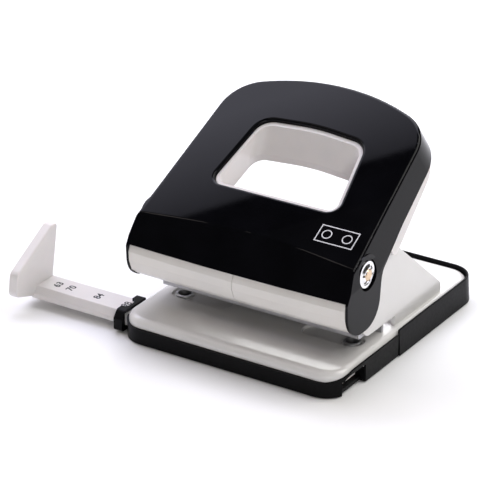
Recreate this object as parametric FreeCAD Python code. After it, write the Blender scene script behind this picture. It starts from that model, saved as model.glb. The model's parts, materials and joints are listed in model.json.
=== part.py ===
import FreeCAD, Part
import math
import os

# Two-hole office punch, in millimetres. +X runs along the paper edge, +Y from the
# front edge to the rear, +Z up. The origin is on the table under the middle of the base.

V = FreeCAD.Vector

# ---- base plate: a shallow steel pan, upside down
PLATE_HALF = 51.5
PLATE_FRONT = -55.8
PLATE_REAR = 56.5
PLATE_TOP = 11.0
PLATE_SHEET = 1.5
PLATE_SKIRT = 7.0
PLATE_CORNER = 10.0
PLATE_ROLL = 3.0

# ---- holes: 80 mm apart, 12 mm from the paper edge
PIN_X = 40.0
PIN_Y = -25.0
PIN_R = 2.75
EDGE_DISTANCE = 12.0
SLOT_TOP = 15.6
SLOT_END = -5.0
RECESS_INNER = 22.7
RECESS_R = 5.0
RECESS_FLOOR = 9.6
DIE_R = 3.9

# ---- pivot and handle: L runs up the slope from the crease, D is the depth under the top face
PIVOT = (-33.6, 46.4)
AXLE_R = 2.5
SLOPE = 28.4
CREASE = (-43.9, 51.0)
CREASE_BOW = 5.0
FRONT_BOW = 2.0
FRONT_LOW = (-50.0, 37.9)
PRESS_ANGLE = 28.0
HALF_AT_CREASE = 50.8
TAPER = 0.067
REAR_L = 86.3
REAR_R = 95.0
CORNER_R = 19.0
FLARE_DEPTH = 15.0
FLARE_UPPER = 0.14
FLARE_LOWER = 0.03
SHELL_WALL = 1.0
SHELL_TOP_WALL = 2.0
LEG_HALF = 52.0
LEG_WALL = 1.1
LEG_END = 23.0
PANEL_END = 39.8
BOSS_R = 8.2
SINK_R = 6.5
SINK_FLOOR = 50.6
LINER_WALL = 1.3
LINER_SHEET = 1.6
SKIRT_WALL = 1.3
SKIRT_FRONT = 26.0
CHANNEL_END = 49.5
NOSE_SHEET = 1.3
NOSE_END = 50.7
SCREW_X = 37.5
SCREW_L = 40.0
LINER_FACE = 13.0
WINDOW = [(-30.0, 24.8, 5.0), (30.0, 24.8, 5.0), (24.6, 61.4, 8.0), (0.0, 63.7, 90.0), (-24.6, 61.4, 8.0)]

# ---- side plates, from outside to inside: shell wall, frame cheek, lever cheek
FRAME_OUT = 48.0
FRAME_SHEET = 1.5
LEVER_OUT = 46.2
LEVER_SHEET = 1.5
CHEEK_R = 5.6
RIVET_R = 1.5
RIVET_HEAD_R = 2.6

# ---- lever cam: the flat pin head drops by ROLL_R for each radian of the handle
ROLL_R = 11.0
HEAD_TOP = 38.3
CAM_GAP = 0.1
LUG_HALF = 3.0

# ---- punch pins, their bushes and springs
BRIDGE_SHEET = 1.5
BUSH_SPIGOT_R = 3.9
BUSH_R = 4.6
BUSH_TOP = 24.0
BORE_R = PIN_R + 0.05
SPRING_R = 3.45
SPRING_WIRE_R = 0.35
HEAD_R = 4.3
HEAD_BOTTOM = 36.2

# ---- foot, guide channel, stop bar and chip tray
FOOT_HALF = 52.0
FOOT_FRONT = -57.0
FOOT_REAR = -9.2
FOOT_SIDE_HALF = 52.5
FOOT_SIDE_TOP = 9.8
FOOT_LEFT_TOP = 8.3
FLOOR_GAP = 0.5
BAND_FRONT = -56.5
CLIP_END = -56.7
BAR_FRONT = -50.0
BAR_REAR = -36.0
BAR_BOTTOM = 3.0
BAR_TOP = 8.0
BAR_LEFT = -99.0
BAR_RIGHT = 48.0
FIN_SHEET = 4.5
TRAY_WALL = 1.2
TRAY_HALF = 52.5
TRAY_REAR = 57.4
TRAY_DRAFT = 0.5
TRAY_RIM = 11.9
TRAY_FRONT = -33.0
TRAY_NECK = 48.8
TRAY_FLOOR = 1.7
HINGE = (-30.5, 4.0)
HINGE_R = 1.2
FRONT_PAD = (14.0, 42.0, -54.2, -51.6)
MAT_HALF = 44.0
MAT_FRONT = -6.0
MAT_REAR = 50.0

COS = math.cos(math.radians(SLOPE))
SIN = math.sin(math.radians(SLOPE))


# ---------------------------------------------------------------- helpers
def level(z):
    """Maps (x, y) to the horizontal plane at height z."""
    return lambda u, v: V(u, v, z)


def side(x):
    """Maps (y, z) to the upright plane at x."""
    return lambda u, v: V(x, u, v)


def slope_yz(along, depth):
    """World (y, z) of a point of the handle."""
    return (CREASE[0] + COS * along + SIN * depth, CREASE[1] + SIN * along - COS * depth)


def tilted(depth):
    """Maps (x, L) to the plane parallel to the handle's top face, depth under it."""
    def place(u, v):
        y, z = slope_yz(v, depth)
        return V(u, y, z)
    return place


DOWN_SLOPE = V(0, SIN, -COS)


def rounded(points, place):
    """Closed wire through (u, v, radius) corners, with tangent arcs at the corners."""
    count = len(points)
    ends = []
    for i in range(count):
        u0, v0 = points[i - 1][:2]
        u1, v1, r = points[i]
        u2, v2 = points[(i + 1) % count][:2]
        a = (u0 - u1, v0 - v1)
        b = (u2 - u1, v2 - v1)
        la = math.hypot(*a)
        lb = math.hypot(*b)
        a = (a[0] / la, a[1] / la)
        b = (b[0] / lb, b[1] / lb)
        half = math.acos(max(-1.0, min(1.0, a[0] * b[0] + a[1] * b[1]))) / 2
        if r < 1e-6 or half > math.pi / 2 - 1e-4:
            ends.append(((u1, v1), None, (u1, v1)))
            continue
        t = r / math.tan(half)
        m = (a[0] + b[0], a[1] + b[1])
        lm = math.hypot(*m)
        k = (r / math.sin(half) - r) / lm
        mid = (u1 + m[0] * k, v1 + m[1] * k)
        ends.append(((u1 + a[0] * t, v1 + a[1] * t), mid, (u1 + b[0] * t, v1 + b[1] * t)))
    edges = []
    for i in range(count):
        start, mid, stop = ends[i]
        if mid:
            edges.append(Part.Arc(place(*start), place(*mid), place(*stop)).toShape())
        following = ends[(i + 1) % count][0]
        if math.hypot(following[0] - stop[0], following[1] - stop[1]) > 1e-5:
            edges.append(Part.LineSegment(place(*stop), place(*following)).toShape())
    return Part.Wire(edges)


def inset(points, distance):
    """Moves the sides of a convex counter-clockwise outline inwards."""
    count = len(points)
    lines = []
    for i in range(count):
        u0, v0 = points[i][:2]
        u1, v1 = points[(i + 1) % count][:2]
        length = math.hypot(u1 - u0, v1 - v0)
        n = (-(v1 - v0) / length, (u1 - u0) / length)
        lines.append((n[0], n[1], n[0] * u0 + n[1] * v0 + distance))
    result = []
    for i in range(count):
        a1, b1, c1 = lines[i - 1]
        a2, b2, c2 = lines[i]
        det = a1 * b2 - a2 * b1
        u = (c1 * b2 - c2 * b1) / det
        v = (a1 * c2 - a2 * c1) / det
        result.append((u, v, max(points[i][2] - distance, 0.3)))
    return result


def prism(points, place, vector):
    return Part.Face(rounded(points, place)).extrude(vector)


def plank(y_z_points, x0, x1):
    """A side view outline, given thickness from x0 to x1."""
    return prism(y_z_points, side(x0), V(x1 - x0, 0, 0))


def block(x0, x1, y0, y1, z0, z1):
    return Part.makeBox(x1 - x0, y1 - y0, z1 - z0, V(x0, y0, z0))


def slab(half, y0, y1, r_front, r_rear, z0, z1):
    """Upright block symmetric about x = 0 with rounded plan corners."""
    corners = [(-half, y0, r_front), (half, y0, r_front), (half, y1, r_rear), (-half, y1, r_rear)]
    return prism(corners, level(z0), V(0, 0, z1 - z0))


def rod(x, y, z0, z1, r):
    return Part.makeCylinder(r, z1 - z0, V(x, y, z0))


def cross_rod(y, z, x0, x1, r):
    return Part.makeCylinder(r, x1 - x0, V(x0, y, z), V(1, 0, 0))


def mirrored(shape):
    return shape.mirror(V(0, 0, 0), V(1, 0, 0))


def fuse(shapes):
    return shapes[0].fuse(shapes[1:]).removeSplitter()


def flat_edges(shape, z):
    """Edges lying in the horizontal plane z."""
    return [e for e in shape.Edges if abs(e.BoundBox.ZMin - z) < 0.01 and abs(e.BoundBox.ZMax - z) < 0.01]


# ---------------------------------------------------------------- base
def recess_outline(sign, grow=0.0):
    inner, outer, r = RECESS_INNER, PIN_X, RECESS_R + grow
    y0, y1 = PIN_Y - r, PIN_Y + r
    round_end = r - 0.001
    box = [(inner - r, y0, round_end), (outer + r, y0, round_end),
           (outer + r, y1, round_end), (inner - r, y1, round_end)]
    if sign > 0:
        return box
    return [(-u, v, rr) for u, v, rr in reversed(box)]


def make_base_plate():
    outer = slab(PLATE_HALF, PLATE_FRONT, PLATE_REAR, PLATE_CORNER, PLATE_CORNER, PLATE_SKIRT, PLATE_TOP)
    outer = outer.makeFillet(PLATE_ROLL, flat_edges(outer, PLATE_TOP))
    t = PLATE_SHEET
    inner = slab(PLATE_HALF - t, PLATE_FRONT + t, PLATE_REAR - t, PLATE_CORNER - t, PLATE_CORNER - t,
                 PLATE_SKIRT - 1, PLATE_TOP - t)
    inner = inner.makeFillet(PLATE_ROLL - t, flat_edges(inner, PLATE_TOP - t))
    pan = outer.cut(inner)
    for sign in (-1, 1):
        hole = prism(recess_outline(sign), level(PLATE_SKIRT), V(0, 0, 10))
        pan = pan.cut(hole)
    rims = [e for e in flat_edges(pan, PLATE_TOP)
            if e.BoundBox.YMin > PIN_Y - RECESS_R - 0.1 and e.BoundBox.YMax < PIN_Y + RECESS_R + 0.1]
    pan = pan.makeFillet(0.6, rims)
    # each recess has a pressed floor, with a hole for its die
    for sign in (-1, 1):
        floor = prism(recess_outline(sign, 1.0), level(RECESS_FLOOR - 1.0), V(0, 0, 1.0))
        pan = pan.fuse(floor).cut(rod(sign * PIN_X, PIN_Y, PLATE_SKIRT, PLATE_TOP, DIE_R + 0.02))
    for x0, x1 in ((-PLATE_HALF - 1, -PLATE_HALF + 4), (PLATE_HALF - 4, PLATE_HALF + 1)):
        pan = pan.cut(bar_arch(x0, x1))
    for x, y in rivet_places():
        pan = pan.cut(rod(x, y, PLATE_SKIRT, PLATE_TOP + 1, RIVET_R))
    return pan


def bar_arch(x0, x1):
    """Opening in the side of the base that the stop bar slides through."""
    y0, y1 = BAR_FRONT - 0.7, BAR_REAR + 0.7
    top = BAR_TOP + 0.4
    return plank([(y0, -1.0, 0.0), (y1, -1.0, 0.0), (y1, top, 0.6), (y0, top, 4.0)], x0, x1)


def make_base_foot():
    """Black moulding under the front of the pan, with the channel of the stop bar."""
    top = PLATE_SKIRT - 0.1
    under = PLATE_TOP - PLATE_SHEET - 0.1
    channel_front = BAR_FRONT - 0.8
    channel_rear = BAR_REAR + 0.6
    bumper = slab(FOOT_HALF, FOOT_FRONT, FOOT_REAR, 11.0, 0.0, FLOOR_GAP, top)
    bumper = bumper.cut(block(-60, 60, channel_front, 60, -1, 20))
    front_wall = block(-46.0, 46.0, channel_front - 1.2, channel_front, top - 1.0, under)
    floor_top = BAR_BOTTOM - 0.5
    floor = block(-FOOT_HALF + 2.2, BAR_RIGHT + 2, channel_front - 1.0, channel_rear + 0.5, 0.9, floor_top)
    rear_wall = block(-48.4, 48.4, channel_rear, channel_rear + 1.0, 1.4, under)
    pieces = [bumper, front_wall, floor, rear_wall]
    # a thin band hugs the side of the pan, from the front corner to the chip tray
    band = slab(FOOT_SIDE_HALF, FOOT_FRONT, FOOT_REAR - 0.1, 11.5, 0.0, top - 0.3, FOOT_SIDE_TOP)
    band = band.cut(slab(PLATE_HALF + 0.1, PLATE_FRONT - 0.1, 0.0, PLATE_CORNER + 0.1, 0.0, 0.0, 20.0))
    for x0, x1 in ((-FOOT_HALF, -FOOT_HALF + 2.4), (FOOT_HALF - 2.4, FOOT_HALF)):
        pieces.append(block(x0, x1, channel_rear, FOOT_REAR, FLOOR_GAP, top))
    for x0, x1, high in ((-FOOT_SIDE_HALF, -PLATE_HALF - 0.1, FOOT_LEFT_TOP),
                         (PLATE_HALF + 0.1, FOOT_SIDE_HALF, FOOT_SIDE_TOP)):
        pieces.append(block(x0, x1, channel_rear + 0.2, FOOT_REAR - 0.1, FLOOR_GAP + 0.1, high))
        rise = [(BAND_FRONT, top - 0.6, 0.0), (0.0, top - 0.6, 0.0), (0.0, high, 0.0),
                (BAND_FRONT + 11.0, high, 9.0), (BAND_FRONT + 1.0, top, 4.0)]
        pieces.append(band.common(plank(rise, x0 - 9, x1 + 9)))
    for x0, x1 in ((-FOOT_HALF + 1, -48.0), (48.0, FOOT_HALF - 1)):
        pieces.append(block(x0, x1, channel_rear + 0.1, channel_rear + 1.3, 1.2, top - 0.1))
    foot = fuse(pieces)
    for x0, x1 in ((-60.0, -46.5), (46.5, 60.0)):
        foot = foot.cut(bar_arch(x0, x1).common(block(-70, 70, -70, 70, top - 1.0, 20)))
    x0, x1, y0, y1 = FRONT_PAD
    foot = foot.cut(block(x0, x1, y0, y1, -1, 2.0)).cut(block(-x1, -x0, y0, y1, -1, 2.0))
    for x0, x1 in ((-FOOT_HALF + 1, -FOOT_HALF + 4), (FOOT_HALF - 4, FOOT_HALF - 1)):
        foot = foot.cut(cross_rod(HINGE[0], HINGE[1], x0, x1, HINGE_R))
    return foot


def make_front_feet():
    x0, x1, y0, y1 = FRONT_PAD
    return Part.makeCompound([block(x0, x1, y0, y1, 0, 2.0), block(-x1, -x0, y0, y1, 0, 2.0)])


def make_tray_mat():
    """Thin rubber sheet that the chip tray rests on."""
    return slab(MAT_HALF, MAT_FRONT, MAT_REAR, 6.0, 6.0, 0.0, FLOOR_GAP)


def make_index_clip():
    """Collar round the stop bar, with a notch that shows the mark that is set."""
    y0, y1 = BAR_FRONT - 2.6, BAR_REAR + 1.0
    collar = plank([(y0, 0.9, 1.0), (y1, 0.9, 1.0), (y1, 9.6, 0.8), (y0 + 2.6, 9.6, 2.0), (y0, 6.4, 1.5)],
                   CLIP_END, -FOOT_SIDE_HALF - 0.1)
    bore = block(-70, -40, BAR_FRONT - 0.35, BAR_REAR + 0.35, BAR_BOTTOM - 0.35, BAR_TOP + 0.35)
    notch = prism([(-62, -47.0, 0), (-54.0, -47.0, 2.8), (-54.0, -39.0, 2.8), (-62, -39.0, 0)],
                  level(BAR_TOP), V(0, 0, 5))
    return collar.cut(bore).cut(notch)


def make_detent_spring():
    """Thin steel strip under the bar that makes it click."""
    return block(-10, 10, -46, -40, BAR_BOTTOM - 0.5, BAR_BOTTOM - 0.2)


def make_stop_bar():
    chamfer = 2.2
    profile = [(BAR_FRONT, BAR_BOTTOM, 0.4), (BAR_REAR, BAR_BOTTOM, 0.4), (BAR_REAR, BAR_TOP, 0.5),
               (BAR_FRONT + chamfer, BAR_TOP, 0.8), (BAR_FRONT, BAR_TOP - chamfer - 0.6, 0.6)]
    bar = plank(profile, BAR_LEFT - 1, BAR_RIGHT)
    fin_points = [(-62.0, 7.8, 2.6), (-49.0, BAR_BOTTOM + 0.6, 5.0), (BAR_REAR, BAR_BOTTOM + 0.6, 0.8),
                  (BAR_REAR, 9.0, 8.0), (-32.0, 31.0, 1.5), (-36.2, 31.0, 2.0), (-60.4, 17.6, 4.0)]
    fin = plank(fin_points, BAR_LEFT - FIN_SHEET, BAR_LEFT)
    fin = fin.makeFillet(0.7, [e for e in fin.Edges if abs(e.BoundBox.XLength) < 0.01])
    return fuse([bar, fin])


# ---------------------------------------------------------------- frame
def rivet_places():
    return [(x, y) for x in (-43.0, 43.0) for y in (3.0, 24.0)]


def make_frame_cheek():
    """Right side plate: pivot eye, paper slot, sloping rear edge and a foot flange."""
    inner = FRAME_OUT - FRAME_SHEET
    floor = PLATE_TOP + FRAME_SHEET
    top = PIVOT[1] + CHEEK_R
    front = PIVOT[0] - CHEEK_R
    outline = [(front, 29.0, 5.0), (-27.5, SLOT_TOP, 6.0), (SLOT_END, SLOT_TOP, 0.0),
               (SLOT_END, PLATE_TOP, 0.0), (33.0, PLATE_TOP, 0.0), (33.0, 15.0, 2.0),
               (-3.0, 45.2, 8.0), (-27.0, top, 6.0), (front, top, CHEEK_R - 0.01)]
    wall = plank(outline, inner, FRAME_OUT)
    flange = block(39.5, FRAME_OUT, -3.0, 31.0, PLATE_TOP, floor)
    bend = block(inner - 1.2, inner, -3.0, 31.0, floor, floor + 1.2)
    bend = bend.cut(Part.makeCylinder(1.2, 34.0, V(inner - 1.2, -3.0, floor + 1.2), V(0, 1, 0)))
    cheek = fuse([wall, flange, bend])
    cheek = cheek.cut(cross_rod(PIVOT[0], PIVOT[1], 40, 60, AXLE_R))
    for x, y in rivet_places():
        if x > 0:
            cheek = cheek.cut(rod(x, y, PLATE_TOP - 1, PLATE_TOP + 3, RIVET_R))
    return cheek


def make_frame_rivets():
    rivets = []
    top = PLATE_TOP + FRAME_SHEET
    for x, y in rivet_places():
        head = rod(x, y, top, top + 1.2, RIVET_HEAD_R)
        head = head.makeFillet(0.9, flat_edges(head, top + 1.2))
        shank = rod(x, y, PLATE_TOP - PLATE_SHEET, top, RIVET_R)
        tail = rod(x, y, PLATE_TOP - PLATE_SHEET - 1.0, PLATE_TOP - PLATE_SHEET, RIVET_HEAD_R - 0.2)
        rivets.append(fuse([head, shank, tail]))
    return Part.makeCompound(rivets)


def make_punch_bridge():
    """Channel between the cheeks: carries the bushes, and its rear wall stops the paper."""
    half = FRAME_OUT - FRAME_SHEET
    t = BRIDGE_SHEET
    stop = PIN_Y + EDGE_DISTANCE
    front, lip_top = -31.3, 21.0
    profile = [(front, SLOT_TOP, 0.5), (stop, SLOT_TOP, 0.0), (stop, PLATE_TOP, 0.0),
               (stop + t, PLATE_TOP, 0.0), (stop + t, SLOT_TOP + t, 1.4), (front + t, SLOT_TOP + t, 0.3),
               (front + t, lip_top, 0.3), (front, lip_top, 0.3)]
    bridge = plank(profile, -half, half)
    for x in (-PIN_X, PIN_X):
        bridge = bridge.cut(rod(x, PIN_Y, 10, 20, BUSH_SPIGOT_R))
    return bridge


def make_bush(x):
    seat = SLOT_TOP + BRIDGE_SHEET
    bush = fuse([rod(x, PIN_Y, SLOT_TOP, seat, BUSH_SPIGOT_R), rod(x, PIN_Y, seat, BUSH_TOP, BUSH_R)])
    bush = bush.makeChamfer(0.5, flat_edges(bush, BUSH_TOP))
    return bush.cut(rod(x, PIN_Y, 10, 30, BORE_R))


def make_die(x):
    """Hardened die: a collar that stands up in the recess, on a flange under its floor."""
    seat = RECESS_FLOOR - 1.0
    top = PLATE_TOP - 0.1
    die = fuse([rod(x, PIN_Y, seat - 1.4, seat, DIE_R + 1.4), rod(x, PIN_Y, seat, top, DIE_R)])
    die = die.makeFillet(0.35, flat_edges(die, top))
    bore = rod(x, PIN_Y, seat - 2, PLATE_TOP + 1, PIN_R + 0.08)
    bore = bore.fuse(rod(x, PIN_Y, seat - 2, seat - 0.2, PIN_R + 0.5))
    return die.cut(bore)


def make_pin(x):
    pin = rod(x, PIN_Y, SLOT_TOP + 0.2, HEAD_TOP, PIN_R)
    hollow = Part.makeCylinder(20, PIN_R * 4, V(x - PIN_R * 2, PIN_Y, SLOT_TOP + 0.2 - 19.2), V(1, 0, 0))
    return pin.cut(hollow)


def make_pin_head(x):
    head = rod(x, PIN_Y, HEAD_BOTTOM, HEAD_TOP, HEAD_R)
    head = head.makeFillet(0.3, flat_edges(head, HEAD_TOP) + flat_edges(head, HEAD_BOTTOM))
    return head.cut(rod(x, PIN_Y, HEAD_BOTTOM - 1, HEAD_TOP + 1, PIN_R))


def make_spring(x):
    bottom = BUSH_TOP + SPRING_WIRE_R + 0.02
    height = HEAD_BOTTOM - SPRING_WIRE_R - 0.02 - bottom
    helix = Part.makeHelix(height / 5.0, height, SPRING_R)
    circle = Part.Wire(Part.Circle(V(SPRING_R, 0, 0), V(0, 1, 0), SPRING_WIRE_R).toShape())
    coil = Part.Wire(helix.Edges).makePipeShell([circle], True, True)
    coil.translate(V(x, PIN_Y, bottom))
    return coil


def make_axle():
    end = SINK_FLOOR + 1.5
    axle = cross_rod(PIVOT[0], PIVOT[1], -end, end, AXLE_R)
    tips = [e for e in axle.Edges if e.BoundBox.XLength < 0.01]
    return axle.makeChamfer(0.4, tips)


def make_axle_clip():
    """Push-on star washer in the sunk face of the right leg."""
    x0 = SINK_FLOOR + 0.1
    y, z = PIVOT
    ring = cross_rod(y, z, x0, x0 + 0.5, 5.5)
    ring = ring.fuse(Part.makeCone(4.4, 3.2, 0.7, V(x0 + 0.5, y, z), V(1, 0, 0)))
    ring = ring.cut(cross_rod(y, z, x0 - 1, x0 + 3, AXLE_R))
    for k in range(6):
        cutter = Part.makeBox(6, 0.9, 2.0, V(x0 - 1, -0.45, AXLE_R - 0.6))
        cutter.rotate(V(0, 0, 0), V(1, 0, 0), 60.0 * k + 20)
        cutter.translate(V(0, y, z))
        ring = ring.cut(cutter)
    return ring.removeSplitter()


# ---------------------------------------------------------------- handle
def d_outline(offset, depth, widen=0.0):
    """Plan outline of the handle, grown by offset, in the plane depth under the top face."""
    place = tilted(depth)
    s = math.hypot(1.0, TAPER)
    a = HALF_AT_CREASE - CORNER_R * s
    centre_l = REAR_L - REAR_R
    reach = REAR_R - CORNER_R
    b = a * TAPER + centre_l
    c = a * a + centre_l * centre_l - reach * reach
    corner_l = (b + math.sqrt(b * b - s * s * c)) / (s * s)
    corner_x = a - TAPER * corner_l
    r1 = CORNER_R + offset
    r2 = REAR_R + offset
    start = math.atan2(TAPER, 1.0)
    finish = math.atan2(corner_l - centre_l, corner_x)

    def on_corner(angle):
        return (corner_x + r1 * math.cos(angle), corner_l + r1 * math.sin(angle))

    p0 = on_corner(start)
    p1 = on_corner((start + finish) / 2)
    p2 = on_corner(finish)
    front_l = -60.0
    f = (p0[0] + TAPER * (p0[1] - front_l), front_l)
    top = (0.0, centre_l + r2)

    def neg(p):
        return (-p[0], p[1])

    edges = [Part.LineSegment(place(*neg(f)), place(*f)),
             Part.LineSegment(place(*f), place(*p0)),
             Part.Arc(place(*p0), place(*p1), place(*p2)),
             Part.Arc(place(*p2), place(*top), place(*neg(p2))),
             Part.Arc(place(*neg(p2)), place(*neg(p1)), place(*neg(p0))),
             Part.LineSegment(place(*neg(p0)), place(*neg(f)))]
    return Part.Wire([e.toShape() for e in edges])


def flare(depth):
    """How far the side walls have spread at this depth under the top face."""
    upper = min(depth, FLARE_DEPTH)
    return upper * FLARE_UPPER + (depth - upper) * FLARE_LOWER


def d_solid(offset, depths=(-3.0, FLARE_DEPTH, 60.0)):
    """Block with the handle's plan outline, spreading downwards."""
    wires = [d_outline(offset + flare(d), d) for d in depths]
    blocks = [Part.makeLoft([a, b], True, True) for a, b in zip(wires, wires[1:])]
    return fuse(blocks) if len(blocks) > 1 else blocks[0]


def shell_profile():
    """Side view of the black shell: top, front panel, rounded leg and band."""
    front = FRONT_LOW[0] - FRONT_BOW - 1.0
    return [slope_yz(-8.0, 0.0) + (0.0,), (front, 40.0, 0.0), (front, PANEL_END, 0.0),
            (-49.6, PANEL_END, 0.0), (-48.9, LEG_END, 11.0), (-25.6, LEG_END, 11.0), (-23.2, 43.4, 6.0),
            slope_yz(37.0, 14.0) + (40.0,), slope_yz(92.0, 12.0) + (0.0,), slope_yz(92.0, 0.0) + (0.0,)]


def front_cutter(back):
    """Everything ahead of the handle's front: bowed forwards low down, backwards at the crease."""
    y0, z0 = FRONT_LOW
    y1, z1 = slope_yz(1.0, 0.0)
    lean = (y1 - y0) / (z1 - z0)
    ymid, zmid = slope_yz(1.0 + CREASE_BOW, 0.0)
    lean_mid = (ymid - y0 + FRONT_BOW) / (zmid - z0)
    rise = 26.0
    levels = [(10.0, y0 + 0.6, y0 + 0.5), (z0, y0, y0 - FRONT_BOW),
              (z0 + rise, y0 + lean * rise, y0 - FRONT_BOW + lean_mid * rise)]
    half, far = 56.0, -90.0
    wires = []
    for z, end, middle in levels:
        end, middle = end + back, middle + back
        arc = Part.Arc(V(-half, end, z), V(0, middle, z), V(half, end, z)).toShape()
        loop = [V(half, end, z), V(half, far, z), V(-half, far, z), V(-half, end, z)]
        sides = [Part.LineSegment(a, b).toShape() for a, b in zip(loop, loop[1:])]
        wires.append(Part.Wire([arc] + sides))
    return fuse([Part.makeLoft([a, b], True, True) for a, b in zip(wires, wires[1:])])


def inner_profile():
    """Side view of the space inside the shell, which is open below."""
    t = SHELL_TOP_WALL
    return [slope_yz(-12.0, t) + (0.0,), (-75.0, PANEL_END, 0.0), (-75.0, -40.0, 0.0), (90.0, -40.0, 0.0),
            slope_yz(130.0, t) + (0.0,)]


def inner_front_cutter():
    """Keeps the front panel at its wall thickness, and nothing below its lower edge."""
    return front_cutter(SHELL_TOP_WALL).common(block(-80, 80, -120, 0, PANEL_END, 90))


def window_block(grow, top, bottom):
    return prism(inset(WINDOW, -grow), tilted(top), DOWN_SLOPE * (bottom - top))


def top_face_edges(shape):
    """Edges that lie in the handle's top face."""
    found = []
    for e in shape.Edges:
        depths = [(p.y - CREASE[0]) * SIN - (p.z - CREASE[1]) * COS for p in e.discretize(5)]
        if max(abs(d) for d in depths) < 0.02:
            found.append(e)
    return found


def make_handle_shell():
    width = 70.0
    py, pz = PIVOT
    between = block(-LEG_HALF, LEG_HALF, -90, 90, 0, 120)
    outer = plank(shell_profile(), -width, width).common(d_solid(0.0)).common(between).cut(front_cutter(0.0))
    outer = outer.makeFillet(1.5, top_face_edges(outer))
    between = block(-LEG_HALF + LEG_WALL, LEG_HALF - LEG_WALL, -90, 90, -50, 150)
    inner = plank(inner_profile(), -width, width).common(d_solid(-SHELL_WALL)).common(between)
    shell = outer.cut(inner.cut(inner_front_cutter()))
    lip = window_block(1.4, 0.5, 4.4)
    shell = shell.fuse(lip).cut(window_block(0.0, -2, 8)).removeSplitter()
    rim = [e for e in top_face_edges(shell) if abs(e.BoundBox.XMin) < 32 and abs(e.BoundBox.XMax) < 32]
    shell = shell.makeFillet(1.1, rim)
    # a boss in each leg turns on the axle; its outer face is sunk for the star washer
    for x0, x1 in ((-SINK_FLOOR - 0.3, -FRAME_OUT - 0.3), (FRAME_OUT + 0.3, SINK_FLOOR + 0.3)):
        shell = shell.fuse(cross_rod(py, pz, x0, x1, BOSS_R))
    shell = shell.cut(cross_rod(py, pz, -width, width, AXLE_R + 0.05))
    for x0, x1 in ((-width, -SINK_FLOOR), (SINK_FLOOR, width)):
        shell = shell.cut(cross_rod(py, pz, x0, x1, SINK_R))
    return shell.removeSplitter()


def liner_profile(step):
    """Side view of the liner; step moves its front, underside and rear inwards."""
    top = 4.6 - step * 4
    return [slope_yz(20.4 + step, top) + (0.0,), slope_yz(20.4 + step, LINER_FACE + 0.6 - step) + (2.0,),
            slope_yz(90.0, 11.8 - step) + (0.0,), slope_yz(90.0, top) + (0.0,)]


def finger_well():
    """The finger opening through the liner: steep ramp at the rear, then a lip."""
    half_front, front = WINDOW[1][:2]
    half_back, back, radius = WINDOW[2]
    rear_bow = WINDOW[3][1] - back
    narrowing = (half_front - half_back) / (back - front)
    sections = []
    for depth, setback in ((1.0, 0.0), (10.0, 9.5), (15.5, 11.0), (45.0, 11.0)):
        rear = back - setback
        half_rear = half_front - (rear - front) * narrowing
        outline = [(-half_front, front, 5.0), (half_front, front, 5.0), (half_rear, rear, radius),
                   (0.0, rear + rear_bow, WINDOW[3][2]), (-half_rear, rear, radius)]
        sections.append(rounded(inset(outline, LINER_WALL + 0.25), tilted(depth)))
    return sections


def liner_skirt():
    """Side wall that hangs below the shell's band, and clears the frame cheeks when pressed."""
    outside = -SHELL_WALL - 0.1
    edge = [slope_yz(SKIRT_FRONT, 4.6) + (0.0,), slope_yz(SKIRT_FRONT, 22.4) + (3.0,),
            slope_yz(44.0, 20.2) + (30.0,), slope_yz(64.0, 17.6) + (15.0,), slope_yz(80.0, 12.0) + (8.0,),
            slope_yz(90.0, 11.9) + (0.0,), slope_yz(90.0, 4.6) + (0.0,)]
    skirt = plank(edge, -60, 60).common(d_solid(outside))
    hollow = d_solid(outside - SKIRT_WALL, (6.0, FLARE_DEPTH, 60.0))
    half = FRAME_OUT + 0.3
    channel = [(-half, 0, 0), (half, 0, 0), (half, CHANNEL_END, 0), (-half, CHANNEL_END, 0)]
    channel = prism(channel, tilted(6.0), DOWN_SLOPE * 50)
    return skirt.cut(hollow).cut(channel)


def make_handle_liner():
    width = 46.0
    t = LINER_SHEET
    outside = -SHELL_WALL - 1.1
    body = plank(liner_profile(0.0), -width, width).common(d_solid(outside))
    cavity = plank(liner_profile(t), -width + t, width - t).common(d_solid(outside - t))
    walls = window_block(-0.25, 1.6, 60.0)
    walls = walls.common(plank(liner_profile(0.0)[1:3] + [slope_yz(90.0, 1.0) + (0.0,),
                                                         slope_yz(20.4, 1.0) + (0.0,)], -width, width))
    sections = finger_well()
    lofts = [Part.makeLoft([a, b], True, True) for a, b in zip(sections, sections[1:])]
    well = lofts[0].fuse(lofts[1:])
    liner = body.cut(cavity).fuse([walls, liner_skirt()]).cut(well)
    for x in (-SCREW_X, SCREW_X):
        liner = liner.cut(screw_solid(x, 0.1))
    return liner.removeSplitter()


def make_steel_lever():
    """Pressed steel: a plate with the finger opening, and two cheeks on the axle."""
    depth = SHELL_TOP_WALL + 0.3
    sheet = LEVER_SHEET
    plate = d_solid(-SHELL_WALL - 3.4, (depth, depth + sheet))
    plate = plate.common(block(-LEVER_OUT, LEVER_OUT, -100, 100, -50, 150))
    front = prism([(-60, 3.0, 0), (60, 3.0, 0), (60, 95, 0), (-60, 95, 0)], tilted(-5), DOWN_SLOPE * 20)
    plate = plate.common(front).cut(window_block(2.2, -5, 20)).cut(front_cutter(SHELL_TOP_WALL + 0.5))
    py, pz = PIVOT
    mid = depth + sheet / 2
    cheek_points = [slope_yz(3.5, mid) + (0.0,), slope_yz(0.3, 9.0) + (1.0,), slope_yz(0.3, 16.4) + (6.0,),
                    slope_yz(13.5, 16.4) + (6.2,), slope_yz(19.6, 8.0) + (3.0,), slope_yz(19.6, mid) + (0.0,)]
    cheek = plank(cheek_points, LEVER_OUT - sheet - 0.2, LEVER_OUT - 0.2)
    lever = fuse([plate, cheek, mirrored(cheek)])
    return lever.cut(cross_rod(py, pz, -60, 60, AXLE_R + 0.05))


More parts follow.
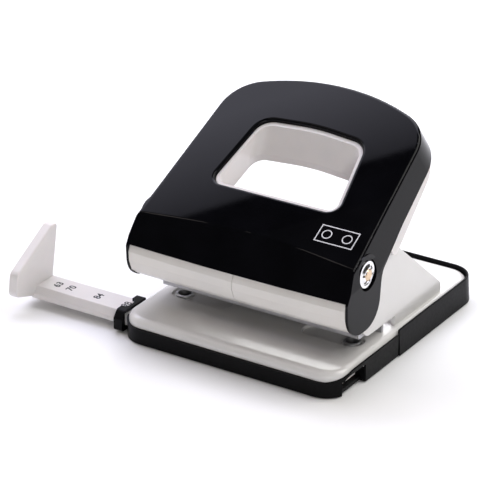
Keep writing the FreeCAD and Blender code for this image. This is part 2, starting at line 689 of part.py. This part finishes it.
def make_cam_lug():
    """Right lug under the lever. Its lower edge is the involute that a flat pin head rolls on."""
    py, pz = PIVOT
    head = HEAD_TOP + CAM_GAP - pz

    def roll(angle):
        drop = head - ROLL_R * angle
        y = ROLL_R * math.cos(angle) - drop * math.sin(angle)
        z = ROLL_R * math.sin(angle) + drop * math.cos(angle)
        return V(0, py + y, pz + z)

    steps = 6
    travel = math.radians(PRESS_ANGLE + 2.0)
    curve = Part.BSplineCurve()
    curve.interpolate([roll(travel * i / steps) for i in range(steps + 1)])
    first, last = roll(0), roll(travel)
    depth = SHELL_TOP_WALL + 0.3 + LEVER_SHEET
    corners = [last, V(0, *slope_yz(19.0, 18.0)), V(0, *slope_yz(19.0, depth)), V(0, *slope_yz(10.4, depth)),
               V(0, *slope_yz(11.0, 19.0)), V(0, first.y - 0.8, first.z + 0.3), first]
    edges = [curve.toShape()]
    for a, b in zip(corners, corners[1:]):
        edges.append(Part.LineSegment(a, b).toShape())
    lug = Part.Face(Part.Wire(edges)).extrude(V(2 * LUG_HALF, 0, 0))
    lug.translate(V(PIN_X - LUG_HALF, 0, 0))
    return lug


def nose_section(x):
    """Bent strip section at x; the strip bows forward and lifts a little in the middle."""
    swell = 1 - (x / 50.0) ** 2
    line = [(-48.4, 39.6, 1.8, 0.0), (-49.6, 36.6, 2.0, 0.5), (-49.4, 32.6, 2.0, 0.9),
            (-47.6, 28.0, 2.0, 0.9), (-43.9, 25.0, 2.0, 0.9)]
    outer = [V(x, y - bow * swell, z + rise * swell) for y, z, bow, rise in line]
    inner = []
    for i, p in enumerate(outer):
        before = outer[max(i - 1, 0)]
        after = outer[min(i + 1, len(outer) - 1)]
        along = (after - before).normalize()
        inner.append(p + V(0, -along.z, along.y) * NOSE_SHEET)
    loop = outer + inner[::-1]
    return Part.makePolygon(loop + loop[:1])


def make_nose_plate():
    """Right half of the bright strip between the legs."""
    count = 7
    sections = [nose_section(0.12 + (NOSE_END - 0.12) * k / count) for k in range(count + 1)]
    return Part.makeLoft(sections, True, True)


def screw_solid(x, grow):
    """Screw from the underside of the liner up to the lever, with its head let in."""
    sunk = LINER_FACE - 0.5
    end = SHELL_TOP_WALL + 0.3 + LEVER_SHEET
    y, z = slope_yz(SCREW_L, sunk + grow * 20)
    head = Part.makeCylinder(2.6 + grow, 0.9 + grow * 20, V(x, y, z), DOWN_SLOPE * -1)
    shank = Part.makeCylinder(1.2 + grow, sunk + grow * 20 - end, V(x, y, z), DOWN_SLOPE * -1)
    return fuse([head, shank])


def make_liner_screws():
    return Part.makeCompound([screw_solid(x, 0.0) for x in (-SCREW_X, SCREW_X)])


# ---------------------------------------------------------------- chip tray
def tray_outline(spread, z):
    half = TRAY_HALF + spread
    front = FOOT_REAR + 0.4
    corner = PLATE_CORNER + 1.0
    return rounded([(-half, front, 0.0), (half, front, 0.0), (half, TRAY_REAR + spread, corner),
                    (-half, TRAY_REAR + spread, corner)], level(z))


def make_chip_tray():
    """Pan under the base; its walls spread slightly downwards, and a neck reaches the hinge."""
    z0 = FLOOR_GAP
    t = TRAY_WALL
    front = FOOT_REAR + 0.4
    outer = Part.makeLoft([tray_outline(TRAY_DRAFT, z0), tray_outline(0.0, TRAY_RIM)], True, True)
    outer = outer.makeFillet(0.35, [e for e in flat_edges(outer, TRAY_RIM) if e.BoundBox.YMax > front + 1])
    corner = PLATE_CORNER + 0.2
    inner = slab(PLATE_HALF + 0.2, front + t, PLATE_REAR + 0.3, 0.0, corner, TRAY_FLOOR, TRAY_RIM + 1)
    over_neck = block(-TRAY_NECK + t, TRAY_NECK - t, front - 3, front + 4, TRAY_FLOOR, TRAY_RIM + 1)
    clear = PLATE_HALF + 0.3
    under_plate = block(-clear, clear, front - 3, front + 4, PLATE_SKIRT - 0.4, TRAY_RIM + 1)
    neck = block(-TRAY_NECK, TRAY_NECK, TRAY_FRONT, front + 0.6, z0, 6.3)
    neck = neck.makeFillet(2.4, [e for e in flat_edges(neck, z0) if e.BoundBox.YMax < TRAY_FRONT + 0.1])
    neck = neck.cut(block(-TRAY_NECK + t, TRAY_NECK - t, TRAY_FRONT + t, front + 4, TRAY_FLOOR, 20))
    tray = outer.cut(inner).cut(over_neck).cut(under_plate).fuse(neck)
    return tray.cut(over_neck).cut(cross_rod(HINGE[0], HINGE[1], -60, 60, HINGE_R + 0.05)).removeSplitter()


def make_tray_pins():
    inner = TRAY_NECK - TRAY_WALL - 0.4
    right = cross_rod(HINGE[0], HINGE[1], inner, FOOT_HALF - 1, HINGE_R)
    return Part.makeCompound([right, mirrored(right)])


# ---------------------------------------------------------------- build
def parts():
    cheek = make_frame_cheek()
    clip = make_axle_clip()
    lug = make_cam_lug()
    nose = make_nose_plate()
    return {
        "base_plate": make_base_plate(),
        "base_foot": make_base_foot(),
        "front_feet": make_front_feet(),
        "index_clip": make_index_clip(),
        "detent_spring": make_detent_spring(),
        "frame_cheek_left": mirrored(cheek),
        "frame_cheek_right": cheek,
        "frame_rivets": make_frame_rivets(),
        "punch_bridge": make_punch_bridge(),
        "punch_bush_left": make_bush(-PIN_X),
        "punch_bush_right": make_bush(PIN_X),
        "die_left": make_die(-PIN_X),
        "die_right": make_die(PIN_X),
        "pivot_axle": make_axle(),
        "axle_clip_left": mirrored(clip),
        "axle_clip_right": clip,
        "tray_hinge_pins": make_tray_pins(),
        "pin_spring_left": make_spring(-PIN_X),
        "pin_spring_right": make_spring(PIN_X),
        "handle_shell": make_handle_shell(),
        "handle_liner": make_handle_liner(),
        "steel_lever": make_steel_lever(),
        "cam_lug_left": mirrored(lug),
        "cam_lug_right": lug,
        "nose_plate_left": mirrored(nose),
        "nose_plate_right": nose,
        "liner_screws": make_liner_screws(),
        "punch_pin_left": make_pin(-PIN_X),
        "punch_pin_right": make_pin(PIN_X),
        "pin_head_left": make_pin_head(-PIN_X),
        "pin_head_right": make_pin_head(PIN_X),
        "chip_tray": make_chip_tray(),
        "tray_mat": make_tray_mat(),
        "stop_bar": make_stop_bar(),
    }


os.makedirs("parts", exist_ok=True)
for name, shape in parts().items():
    print(name, len(shape.Solids), shape.isValid(), round(shape.Volume, 1))
    shape.exportStep("parts/" + name + ".step")
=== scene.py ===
import json
import math

import bmesh
import bpy
from mathutils import Matrix, Quaternion, Vector


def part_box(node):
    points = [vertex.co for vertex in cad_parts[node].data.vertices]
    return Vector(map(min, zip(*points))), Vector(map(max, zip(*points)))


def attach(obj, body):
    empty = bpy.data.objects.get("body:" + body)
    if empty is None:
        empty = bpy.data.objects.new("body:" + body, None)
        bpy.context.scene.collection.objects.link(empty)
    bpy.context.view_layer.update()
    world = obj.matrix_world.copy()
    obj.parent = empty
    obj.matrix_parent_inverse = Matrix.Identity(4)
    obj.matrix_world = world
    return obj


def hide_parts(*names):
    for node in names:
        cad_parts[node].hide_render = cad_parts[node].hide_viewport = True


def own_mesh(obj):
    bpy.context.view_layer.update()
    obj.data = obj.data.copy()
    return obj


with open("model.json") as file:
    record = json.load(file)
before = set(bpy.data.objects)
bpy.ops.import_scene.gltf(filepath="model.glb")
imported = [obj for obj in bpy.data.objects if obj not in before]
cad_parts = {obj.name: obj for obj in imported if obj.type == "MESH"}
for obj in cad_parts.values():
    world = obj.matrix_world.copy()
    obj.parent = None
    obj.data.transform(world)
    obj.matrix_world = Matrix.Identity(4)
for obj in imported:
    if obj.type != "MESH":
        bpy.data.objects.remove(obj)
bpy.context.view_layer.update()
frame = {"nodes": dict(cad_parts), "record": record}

MM = 0.001

# The handle's top face: where its front crease is (y, z), and how steeply it rises, as the CAD has them.
CREASE = (-43.9 * MM, 51.0 * MM)
SLOPE = math.radians(28.4)

# The camera stands in front, to the right of the punch, and looks down at it from about a metre.
CAMERA_AZIMUTH = math.radians(32.69)
CAMERA_ELEVATION = math.radians(25.11)
CAMERA_DISTANCE = 1.10935
CAMERA_TARGET = Vector((-15.12 * MM, -21.71 * MM, 39.8 * MM))
CAMERA_LENS = 205.73

# The overhead card that the glossy handle mirrors: where the middle of its front edge is, how that edge is
# turned, how bright the card looks, how soft its edge is, and how far in it reaches its full brightness.
CARD_EDGE = Vector((-0.487, 0.085, 1.0))
CARD_TURN = math.radians(28.9)
CARD_RADIANCE = 4.8
CARD_EDGE_SOFTNESS = 0.006
CARD_RISE = 0.075
CARD_DIMMEST = 0.24

# The pins and their coil springs.
PIN_X = 40.0 * MM
SPRING_SEAT = 24.0 * MM
SPRING_HEAD = 36.2 * MM
SPRING_GAP = 0.02 * MM

# The stop bar's printed numbers, by their distance from the inside of the fin.
FIN_SHEET = 4.5 * MM
BAR_TOP = 8.0 * MM
NOTCH_INSET = 0.8 * MM
NUMBER_OFFSETS = (7.3 * MM, 13.8 * MM, 27.8 * MM, 41.8 * MM)
NUMBER_Y = -42.3 * MM
NUMBER_SIZE = 4.6 * MM


# ---------------------------------------------------------------- camera, lights, floor
def make_camera():
    back = Vector((math.sin(CAMERA_AZIMUTH) * math.cos(CAMERA_ELEVATION),
                   -math.cos(CAMERA_AZIMUTH) * math.cos(CAMERA_ELEVATION),
                   math.sin(CAMERA_ELEVATION)))
    data = bpy.data.cameras.new("camera")
    data.lens = CAMERA_LENS
    data.sensor_width = 36.0
    data.clip_start = 0.05
    data.clip_end = 20.0
    camera = bpy.data.objects.new("camera", data)
    camera.location = CAMERA_TARGET + back * CAMERA_DISTANCE
    camera.rotation_mode = "QUATERNION"
    camera.rotation_quaternion = (-back).to_track_quat("-Z", "Y")
    bpy.context.collection.objects.link(camera)
    bpy.context.scene.camera = camera


def soft_light(name, place, aim, width, height, radiance, colour=(1, 1, 1), roll=0.0):
    """Area light at place, facing aim and turned by roll, as bright to look at as radiance says."""
    data = bpy.data.lights.new(name, "AREA")
    data.shape = "RECTANGLE"
    data.size = width
    data.size_y = height
    data.energy = radiance * math.pi * width * height
    data.color = colour
    light = bpy.data.objects.new(name, data)
    light.location = place
    light.rotation_mode = "QUATERNION"
    facing = (Vector(aim) - Vector(place)).to_track_quat("-Z", "Y")
    light.rotation_quaternion = facing @ Quaternion((0, 0, 1), roll)
    bpy.context.collection.objects.link(light)


def make_lights():
    centre = (0.0, 0.0, 0.04)
    warm = (1.0, 0.985, 0.955)
    soft_light("key", (0.55, 0.55, 1.05), centre, 0.8, 0.8, 4.4, warm)
    soft_light("top", (0.40, -0.35, 1.20), centre, 0.6, 0.6, 0.6)
    soft_light("front_right", (0.95, -0.95, 0.50), centre, 0.6, 0.5, 2.2, warm)
    soft_light("low_front", (0.80, -1.15, 0.26), centre, 0.5, 0.35, 4.5)
    soft_light("rim", (0.92, 0.22, 0.82), centre, 0.2, 0.2, 12.0)
    soft_light("left", (-0.95, -0.10, 0.55), centre, 0.5, 0.5, 1.8, warm)
    soft_light("crease", (-0.62, -0.52, 0.95), centre, 1.0, 0.2, 3.2, (1.0, 0.90, 0.86), math.radians(33))
    soft_light("back", (-0.30, 1.10, 0.80), (0.0, 0.3, 0.0), 0.8, 0.5, 4.0)


def make_world():
    world = bpy.data.worlds.new("studio")
    world.use_nodes = True
    world.node_tree.nodes["Background"].inputs["Color"].default_value = (1.0, 0.99, 0.98, 1)
    world.node_tree.nodes["Background"].inputs["Strength"].default_value = 0.05
    bpy.context.scene.world = world


def make_floor():
    mesh = bpy.data.meshes.new("floor")
    half = 4.0
    corners = [(-half, -half, 0), (half, -half, 0), (half, half, 0), (-half, half, 0)]
    mesh.from_pydata(corners, [], [(0, 1, 2, 3)])
    floor = bpy.data.objects.new("floor", mesh)
    bpy.context.collection.objects.link(floor)
    shader = Shader("floor_paper", (0.93, 0.93, 0.93), 0.9)
    shader.set("Specular IOR Level", 0.1)
    shader.mottle(0.02, 6.0)
    mesh.materials.append(shader.material)


def make_card():
    """Large card overhead on the left, dimmer towards its front edge."""
    width, depth, overlap = 1.5, 0.9, 0.03
    inwards = Vector((-math.sin(CARD_TURN), math.cos(CARD_TURN), 0))
    centre = CARD_EDGE + inwards * (depth / 2 - overlap)
    mesh = bpy.data.meshes.new("overhead_card")
    w, d = width / 2, depth / 2
    corners = [(-w, -d, 0), (-w, d, 0), (w, d, 0), (w, -d, 0)]
    spin = Matrix.Translation(centre) @ Matrix.Rotation(CARD_TURN, 4, "Z")
    mesh.from_pydata([spin @ Vector(c) for c in corners], [], [(0, 1, 2, 3)])
    card = bpy.data.objects.new("overhead_card", mesh)
    bpy.context.collection.objects.link(card)
    material = bpy.data.materials.new("card_glow")
    material.use_nodes = True
    nodes, links = material.node_tree.nodes, material.node_tree.links
    nodes.clear()
    place = nodes.new("ShaderNodeTexCoord")
    split = nodes.new("ShaderNodeSeparateXYZ")
    turned = nodes.new("ShaderNodeMapping")
    turned.vector_type = "POINT"
    turned.inputs["Rotation"].default_value = (0, 0, -CARD_TURN)
    fade = nodes.new("ShaderNodeMapRange")
    rise = nodes.new("ShaderNodeMapRange")
    product = nodes.new("ShaderNodeMath")
    product.operation = "MULTIPLY"
    start = (Matrix.Rotation(-CARD_TURN, 3, "Z") @ CARD_EDGE).y
    fade.inputs["From Min"].default_value = start
    fade.inputs["From Max"].default_value = start + CARD_EDGE_SOFTNESS
    fade.inputs["To Min"].default_value = 0.0
    fade.inputs["To Max"].default_value = CARD_RADIANCE
    fade.interpolation_type = "SMOOTHSTEP"
    rise.inputs["From Min"].default_value = start
    rise.inputs["From Max"].default_value = start + CARD_RISE
    rise.inputs["To Min"].default_value = CARD_DIMMEST
    rise.inputs["To Max"].default_value = 1.0
    glow = nodes.new("ShaderNodeEmission")
    glow.inputs["Color"].default_value = (0.85, 0.845, 1.0, 1)
    out = nodes.new("ShaderNodeOutputMaterial")
    links.new(place.outputs["Object"], turned.inputs["Vector"])
    links.new(turned.outputs["Vector"], split.inputs["Vector"])
    links.new(split.outputs["Y"], fade.inputs["Value"])
    links.new(split.outputs["Y"], rise.inputs["Value"])
    links.new(fade.outputs["Result"], product.inputs[0])
    links.new(rise.outputs["Result"], product.inputs[1])
    links.new(product.outputs["Value"], glow.inputs["Strength"])
    links.new(glow.outputs["Emission"], out.inputs["Surface"])
    mesh.materials.append(material)


# ---------------------------------------------------------------- materials
class Shader:
    """A Principled material whose colour, roughness and bump come from object-space noise."""

    def __init__(self, name, colour, roughness):
        self.material = bpy.data.materials.new(name)
        self.material.use_nodes = True
        self.tree = self.material.node_tree
        self.bsdf = self.tree.nodes["Principled BSDF"]
        self.colour = colour
        self.bsdf.inputs["Base Color"].default_value = (*colour, 1)
        self.bsdf.inputs["Roughness"].default_value = roughness
        self.place = self.node("ShaderNodeTexCoord")
        self.bump_out = None

    def node(self, kind):
        return self.tree.nodes.new(kind)

    def link(self, a, b):
        self.tree.links.new(a, b)

    def set(self, socket, value):
        self.bsdf.inputs[socket].default_value = value

    def scaled(self, scale):
        mapping = self.node("ShaderNodeMapping")
        mapping.inputs["Scale"].default_value = scale
        self.link(self.place.outputs["Object"], mapping.inputs["Vector"])
        return mapping.outputs["Vector"]

    def noise(self, per_metre, detail=3.0, stretch=(1, 1, 1)):
        noise = self.node("ShaderNodeTexNoise")
        noise.inputs["Scale"].default_value = 1.0
        noise.inputs["Detail"].default_value = detail
        self.link(self.scaled(tuple(per_metre * s for s in stretch)), noise.inputs["Vector"])
        return noise.outputs["Fac"]

    def ranged(self, value, low, high, first, last):
        remap = self.node("ShaderNodeMapRange")
        remap.inputs["From Min"].default_value = low
        remap.inputs["From Max"].default_value = high
        remap.inputs["To Min"].default_value = first
        remap.inputs["To Max"].default_value = last
        self.link(value, remap.inputs["Value"])
        return remap.outputs["Result"]

    def mottle(self, amount, per_metre, tint=(1, 1, 1)):
        """Slight unevenness of the colour."""
        mix = self.node("ShaderNodeMix")
        mix.data_type = "RGBA"
        dark = tuple(c * (1 - amount) for c in self.colour)
        light = tuple(min(1.0, c * (1 + amount) * t) for c, t in zip(self.colour, tint))
        mix.inputs["A"].default_value = (*dark, 1)
        mix.inputs["B"].default_value = (*light, 1)
        self.link(self.ranged(self.noise(per_metre), 0.3, 0.7, 0, 1), mix.inputs["Factor"])
        self.link(mix.outputs["Result"], self.bsdf.inputs["Base Color"])

    def gloss(self, low, high, per_metre, stretch=(1, 1, 1)):
        """Roughness that wanders between two values."""
        value = self.noise(per_metre, 3.0, stretch)
        self.link(self.ranged(value, 0.3, 0.7, low, high), self.bsdf.inputs["Roughness"])

    def bump(self, height, depth_mm, strength=1.0):
        bump = self.node("ShaderNodeBump")
        bump.inputs["Strength"].default_value = strength
        bump.inputs["Distance"].default_value = depth_mm * MM
        self.link(height, bump.inputs["Height"])
        if self.bump_out:
            self.link(self.bump_out, bump.inputs["Normal"])
        self.bump_out = bump.outputs["Normal"]
        self.link(self.bump_out, self.bsdf.inputs["Normal"])


def black_gloss():
    s = Shader("black_gloss_enamel", (0.0025, 0.0025, 0.0033), 0.02)
    s.mottle(0.25, 60)
    s.gloss(0.012, 0.03, 300)
    s.bump(s.noise(900, 2), 0.002, 0.25)
    s.set("Specular IOR Level", 0.12)
    return s.material


def light_plastic():
    s = Shader("light_grey_satin_plastic", (0.74, 0.71, 0.70), 0.38)
    s.mottle(0.025, 90, (1.0, 0.995, 0.99))
    s.gloss(0.32, 0.44, 500)
    s.bump(s.noise(4200, 2), 0.006, 0.35)
    s.set("Subsurface Weight", 0.04)
    s.set("Subsurface Scale", 0.002)
    return s.material


def light_paint():
    s = Shader("light_grey_gloss_paint", (0.73, 0.715, 0.70), 0.22)
    s.mottle(0.02, 40)
    s.gloss(0.16, 0.26, 260)
    s.bump(s.noise(1400, 2), 0.004, 0.4)
    s.set("Coat Weight", 0.35)
    s.set("Coat Roughness", 0.08)
    return s.material


def satin_strip():
    s = Shader("light_satin_strip", (0.72, 0.70, 0.675), 0.34)
    s.mottle(0.035, 30, (1.0, 0.99, 0.97))
    s.gloss(0.28, 0.42, 160, (0.15, 1, 1))
    s.bump(s.noise(1500, 2, (0.04, 1, 1)), 0.01, 0.4)
    s.set("Coat Weight", 0.2)
    s.set("Coat Roughness", 0.2)
    return s.material


def black_plastic():
    s = Shader("black_satin_plastic", (0.0035, 0.0035, 0.004), 0.36)
    s.mottle(0.2, 120)
    s.gloss(0.30, 0.42, 700)
    s.bump(s.noise(5200, 2), 0.010, 0.4)
    s.set("Specular IOR Level", 0.08)
    return s.material


def metal(name, colour, low, high, stretch=(1, 1, 1), grain=900, depth=0.003):
    s = Shader(name, colour, low)
    s.set("Metallic", 1.0)
    s.mottle(0.06, 120)
    s.gloss(low, high, grain, stretch)
    s.bump(s.noise(grain * 2, 3, stretch), depth, 0.5)
    return s.material


def rubber():
    s = Shader("black_rubber", (0.02, 0.02, 0.02), 0.8)
    s.mottle(0.2, 200)
    s.gloss(0.7, 0.88, 900)
    s.bump(s.noise(3000, 3), 0.03, 0.6)
    return s.material


def ink(name, colour, roughness):
    s = Shader(name, colour, roughness)
    s.mottle(0.15, 900)
    s.gloss(roughness * 0.85, roughness * 1.15, 2500)
    return s.material


def make_finishes():
    return {
        "black_gloss_shell": black_gloss(),
        "light_grey_plastic": light_plastic(),
        "light_grey_paint": light_paint(),
        "satin_trim": satin_strip(),
        "black_plastic": black_plastic(),
        "bright_steel": metal("bright_nickel", (0.83, 0.83, 0.84), 0.10, 0.20),
        "brass_axle": metal("turned_brass", (0.72, 0.55, 0.38), 0.22, 0.36),
        "plain_steel": metal("zinc_plated_sheet", (0.60, 0.60, 0.62), 0.30, 0.48, (0.2, 1, 1)),
        "tool_steel": metal("ground_tool_steel", (0.72, 0.72, 0.73), 0.34, 0.46, (1, 1, 1), 900),
        "spring_steel": metal("drawn_spring_steel", (0.52, 0.52, 0.54), 0.24, 0.36),
        "foot_rubber": rubber(),
    }


def dress_frame(finishes):
    """Gives every CAD node the finish of its material slot."""
    for part in frame["record"]["subparts"]:
        node = frame["nodes"][part["node"]]
        for slot in node.material_slots:
            slot.material = finishes[part["material_slot"]]
        if not node.material_slots:
            node.data.materials.append(finishes[part["material_slot"]])


# ---------------------------------------------------------------- detail pieces
def mesh_piece(name, bm, body, material):
    mesh = bpy.data.meshes.new(name)
    bm.to_mesh(mesh)
    bm.free()
    mesh.materials.append(material)
    piece = bpy.data.objects.new(name, mesh)
    bpy.context.collection.objects.link(piece)
    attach(piece, body)
    return piece


def top_face(x, along, lift=0.0):
    """Point on the handle's top face, lift above it."""
    return Vector((x, CREASE[0] + along * math.cos(SLOPE) - lift * math.sin(SLOPE),
                   CREASE[1] + along * math.sin(SLOPE) + lift * math.cos(SLOPE)))


def raised_loop(bm, outline_out, outline_in, low, high):
    """Closed printed line: a flat ring between two outlines, from the low to the high copy of each."""
    count = len(outline_out)
    rings = []
    for outline, place in ((outline_out, low), (outline_out, high), (outline_in, high), (outline_in, low)):
        rings.append([bm.verts.new(place(u, v)) for u, v in outline])
    for k in range(4):
        a, b = rings[k], rings[(k + 1) % 4]
        for i in range(count):
            j = (i + 1) % count
            bm.faces.new((a[i], a[j], b[j], b[i]))


def circle(cu, cv, r, count=48):
    return [(cu + r * math.cos(2 * math.pi * i / count), cv + r * math.sin(2 * math.pi * i / count))
            for i in range(count)]


def make_hole_pictogram(material):
    """Plain sign for two punched holes, printed near the right front corner of the top face."""
    line = 0.45 * MM
    centre_x, centre_l = 36.0 * MM, 14.3 * MM
    ring_x, ring_r = 4.6 * MM, 2.2 * MM
    sheet_w, sheet_h = 8.6 * MM, 4.2 * MM
    bm = bmesh.new()

    def low(u, v):
        return top_face(centre_x + u, centre_l + v, -0.01 * MM)

    def high(u, v):
        return top_face(centre_x + u, centre_l + v, 0.05 * MM)

    for side in (-1, 1):
        cu = side * ring_x
        raised_loop(bm, circle(cu, 0, ring_r), circle(cu, 0, ring_r - line), low, high)

    def sheet(w, h):
        return [(-w, -h), (w, -h), (w, h), (-w, h)]

    raised_loop(bm, sheet(sheet_w, sheet_h), sheet(sheet_w - line, sheet_h - line), low, high)
    bmesh.ops.recalc_face_normals(bm, faces=bm.faces)
    mesh_piece("hole_pictogram", bm, "handle", material)


def number_mesh(text, size, thickness):
    data = bpy.data.curves.new("number", "FONT")
    data.body = text
    data.size = size
    data.extrude = thickness / 2
    data.offset = size * 0.018
    data.align_x = "CENTER"
    data.align_y = "CENTER"
    data.resolution_u = 4
    source = bpy.data.objects.new("number", data)
    mesh = bpy.data.meshes.new_from_object(source)
    bpy.data.objects.remove(source)
    bpy.data.curves.remove(data)
    return mesh


def make_bar_scale(material):
    """Printed numbers: the stop distance in millimetres when that number is in the clip's notch."""
    thickness, lift = 0.06 * MM, 0.02 * MM
    fin_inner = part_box("stop_bar")[0].x + FIN_SHEET
    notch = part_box("index_clip")[0].x + NOTCH_INSET
    for offset in NUMBER_OFFSETS:
        distance = round((offset - notch) / MM)
        mesh = number_mesh(str(distance), NUMBER_SIZE, thickness)
        place = Matrix.Translation((fin_inner + offset, NUMBER_Y, BAR_TOP + lift))
        mesh.transform(place @ Matrix.Rotation(math.radians(90), 4, "Z"))
        name = "bar_number_%d" % distance
        bm = bmesh.new()
        bm.from_mesh(mesh)
        bpy.data.meshes.remove(mesh)
        mesh_piece(name, bm, "stop_bar", material)


def make_pin_spring(side, x, material):
    """Coil spring round a pin, from its seat up to the pin's head."""
    coil_r, wire_r = 3.45 * MM, 0.35 * MM
    turns, per_turn, around = 5, 36, 8
    first = SPRING_SEAT + wire_r + SPRING_GAP
    last = SPRING_HEAD - wire_r - SPRING_GAP
    low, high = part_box("punch_pin_" + side)
    centre_y = (low.y + high.y) / 2
    bm = bmesh.new()
    rings = []
    for i in range(turns * per_turn + 1):
        angle = 2 * math.pi * i / per_turn
        outwards = Vector((math.cos(angle), math.sin(angle), 0))
        z = first + (last - first) * i / (turns * per_turn)
        middle = Vector((x, centre_y, z)) + outwards * coil_r
        ring = []
        for k in range(around):
            a = 2 * math.pi * k / around
            rim = outwards * wire_r * math.cos(a) + Vector((0, 0, wire_r * math.sin(a)))
            ring.append(bm.verts.new(middle + rim))
        rings.append(ring)
    for r0, r1 in zip(rings, rings[1:]):
        for k in range(around):
            j = (k + 1) % around
            bm.faces.new((r0[k], r0[j], r1[j], r1[k]))
    bm.faces.new(rings[0])
    bm.faces.new(list(reversed(rings[-1])))
    bmesh.ops.recalc_face_normals(bm, faces=bm.faces)
    for face in bm.faces:
        face.smooth = len(face.verts) == 4
    spring = mesh_piece("coil_" + side, bm, "base", material)
    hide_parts("pin_spring_" + side)
    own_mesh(spring)


make_camera()
make_world()
make_lights()
make_floor()
make_card()
finishes = make_finishes()
dress_frame(finishes)
make_hole_pictogram(ink("silver_print", (0.62, 0.62, 0.64), 0.35))
make_bar_scale(ink("black_print", (0.01, 0.01, 0.012), 0.45))
make_pin_spring("left", -PIN_X, finishes["spring_steel"])
make_pin_spring("right", PIN_X, finishes["spring_steel"])

bpy.context.scene.view_settings.view_transform = "Standard"
